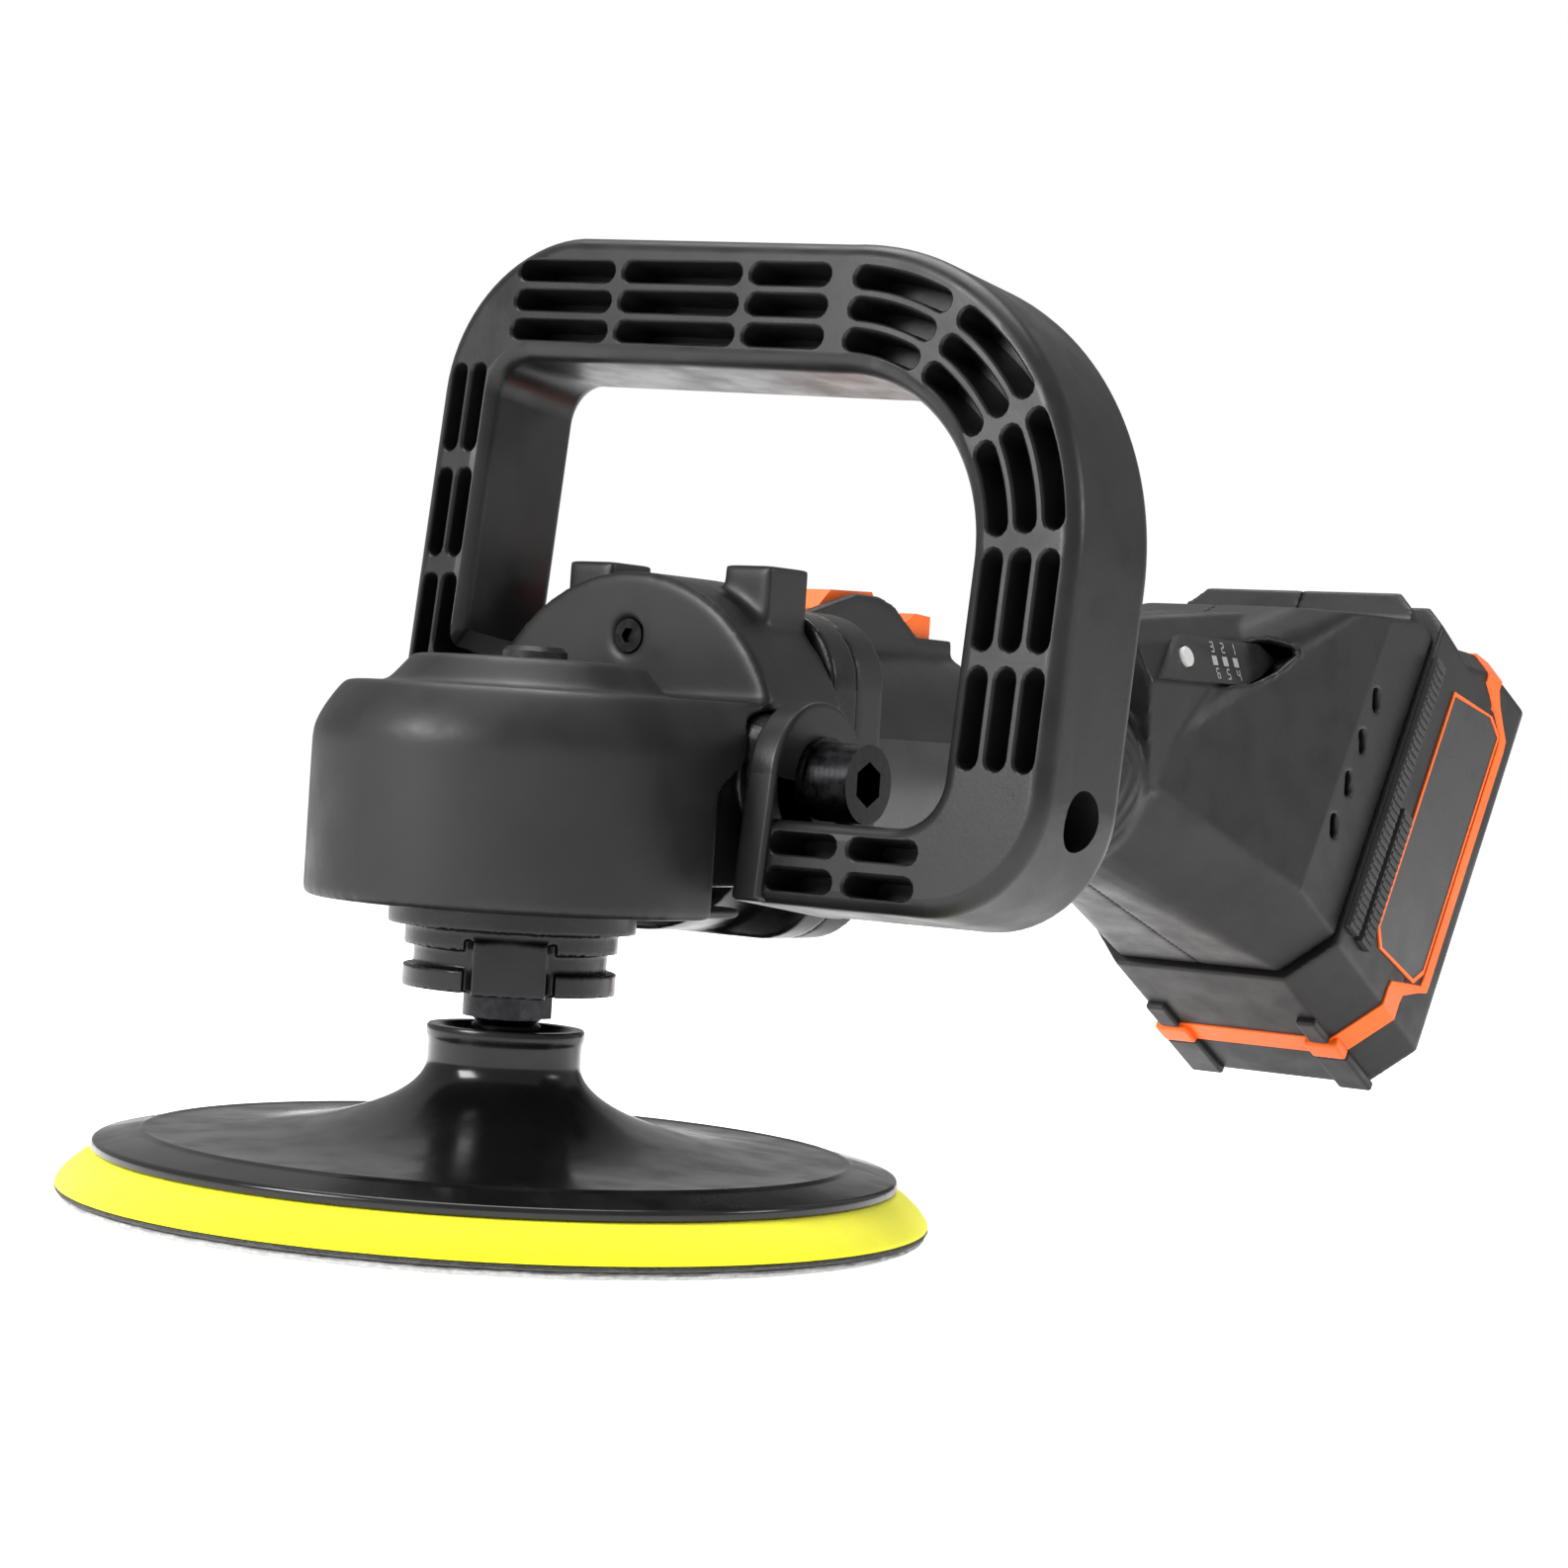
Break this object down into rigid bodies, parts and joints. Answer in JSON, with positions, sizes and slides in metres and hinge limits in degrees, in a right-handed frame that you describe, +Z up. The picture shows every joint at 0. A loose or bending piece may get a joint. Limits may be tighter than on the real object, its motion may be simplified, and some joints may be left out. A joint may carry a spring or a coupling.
{
  "type": "cordless rotary polisher",
  "caption": "Cordless right-angle rotary polisher with hook-and-loop foam pad, slotted D-handle, rubber-booted gear head and slide-on battery pack.",
  "frame": {"origin": "centre of the pad's working face, on the spindle axis", "axes": "+Z up along the spindle, away from the work; +Y back along the tool to the battery pack; +X to the side of the handle's wide leg"},
  "size_m": [0.2037, 0.4815, 0.2033],
  "materials": {
    "fleece_white": "looped wool fleece",
    "hook_black": "hook-and-loop nap",
    "foam_yellow": "fine closed-cell foam",
    "plate_black": "glossy moulded plastic",
    "steel": "ground steel",
    "black_oxide": "black oxide on steel",
    "cast_black": "black coated casting",
    "boot_rubber": "satin moulded rubber",
    "grip_rubber": "soft overmoulding",
    "housing_black": "fine spark texture",
    "handle_black": "satin glass-filled nylon",
    "orange_plastic": "satin",
    "panel_gloss": "glossy film",
    "led_clear": "frosted",
    "key_grey": "satin",
    "label_grey": "satin film",
    "rib_grey": "coarse spark texture",
    "copper": "enamelled wire",
    "bronze": "sintered",
    "brass_contact": "tin-plated",
    "laminations": "stacked steel sheet",
    "fan_nylon": "moulded nylon",
    "rod_nylon": "moulded nylon",
    "cell_wrap": "heat-shrink sleeve",
    "holder_grey": "moulded",
    "board_green": "solder mask",
    "sink_aluminium": "extruded"
  },
  "bodies": {
    "tool": {"neck_collar": "cast_black", "collar_screws": "black_oxide", "spindle_bearing": "steel", "bearing_ring": "black_oxide", "top_bush": "bronze", "gear_case": "cast_black", "gear_case_boot": "boot_rubber", "lock_spring": "steel", "case_screws": "black_oxide", "front_bearing": "steel", "rear_bearing": "steel", "stator": "laminations", "windings": "copper", "housing_left": "housing_black", "housing_right": "housing_black", "housing_screws": "black_oxide", "grip_rubber_left": "grip_rubber", "grip_rubber_right": "grip_rubber", "side_labels": "label_grey", "main_switch": "holder_grey", "controller_board": "board_green", "heat_sink": "sink_aluminium", "speed_panel": "panel_gloss", "speed_leds": "led_clear", "speed_tact_switch": "steel", "terminal_block": "orange_plastic", "terminal_blades": "brass_contact", "d_handle": "handle_black", "handle_bolts": "black_oxide", "handle_washers": "black_oxide"},
    "spindle": {"spindle": "black_oxide", "ring_gear": "steel", "ring_gear_nut": "black_oxide", "hub_bush": "steel", "backing_plate": "plate_black", "foam_pad": "foam_yellow", "hook_layer": "hook_black", "fleece_bonnet": "fleece_white"},
    "rotor": {"rotor_shaft": "steel", "pinion": "steel", "rotor_core": "laminations", "cooling_fan": "fan_nylon"},
    "spindle_lock": {"lock_button": "boot_rubber", "lock_pin": "steel"},
    "power_switch": {"switch_slider": "orange_plastic", "switch_rod": "rod_nylon"},
    "speed_key": {"speed_button": "key_grey"},
    "pack": {"pack_upper_shell": "housing_black", "pack_band": "orange_plastic", "pack_lower_shell": "housing_black", "pack_side_rails": "rib_grey", "pack_labels": "label_grey", "battery_cells": "cell_wrap", "cell_holder": "holder_grey", "pack_board": "board_green", "pack_contacts": "brass_contact", "pack_screws": "black_oxide", "latch_spring": "steel"},
    "latch": {"latch_button": "orange_plastic", "latch_hook": "housing_black"}
  },
  "joints": [
    {"name": "spindle_spin", "type": "hinge", "parent": "tool", "child": "spindle", "pos_m": [0, 0, 0], "axis": [0, 0, 1], "continuous": true},
    {"name": "rotor_spin", "type": "hinge", "parent": "tool", "child": "rotor", "pos_m": [0, 0.05, 0.092], "axis": [0, 1, 0], "continuous": true},
    {"name": "lock_press", "type": "slide", "parent": "tool", "child": "spindle_lock", "axis": [0, 0, -1], "range_m": [0, 0.004], "stiffness_N_per_m": 500, "springref_m": -0.001, "deforming": ["lock_spring"]},
    {"name": "power_slide", "type": "slide", "parent": "tool", "child": "power_switch", "axis": [0, -1, 0], "range_m": [0, 0.006]},
    {"name": "speed_press", "type": "slide", "parent": "tool", "child": "speed_key", "axis": [-0.9397, 0, -0.342], "range_m": [0, 0.001], "stiffness_N_per_m": 600, "springref_m": -0.0003},
    {"name": "pack_slide", "type": "slide", "parent": "tool", "child": "pack", "axis": [0, 0.5, 0.866], "range_m": [0, 0.08]},
    {"name": "latch_press", "type": "slide", "parent": "pack", "child": "latch", "axis": [0, 0.866, -0.5], "range_m": [0, 0.003], "stiffness_N_per_m": 400, "springref_m": -0.001, "deforming": ["latch_spring"]}
  ],
  "couplings": [
    {"joint": "rotor_spin", "follows": "spindle_spin", "ratio": 4}
  ]
}
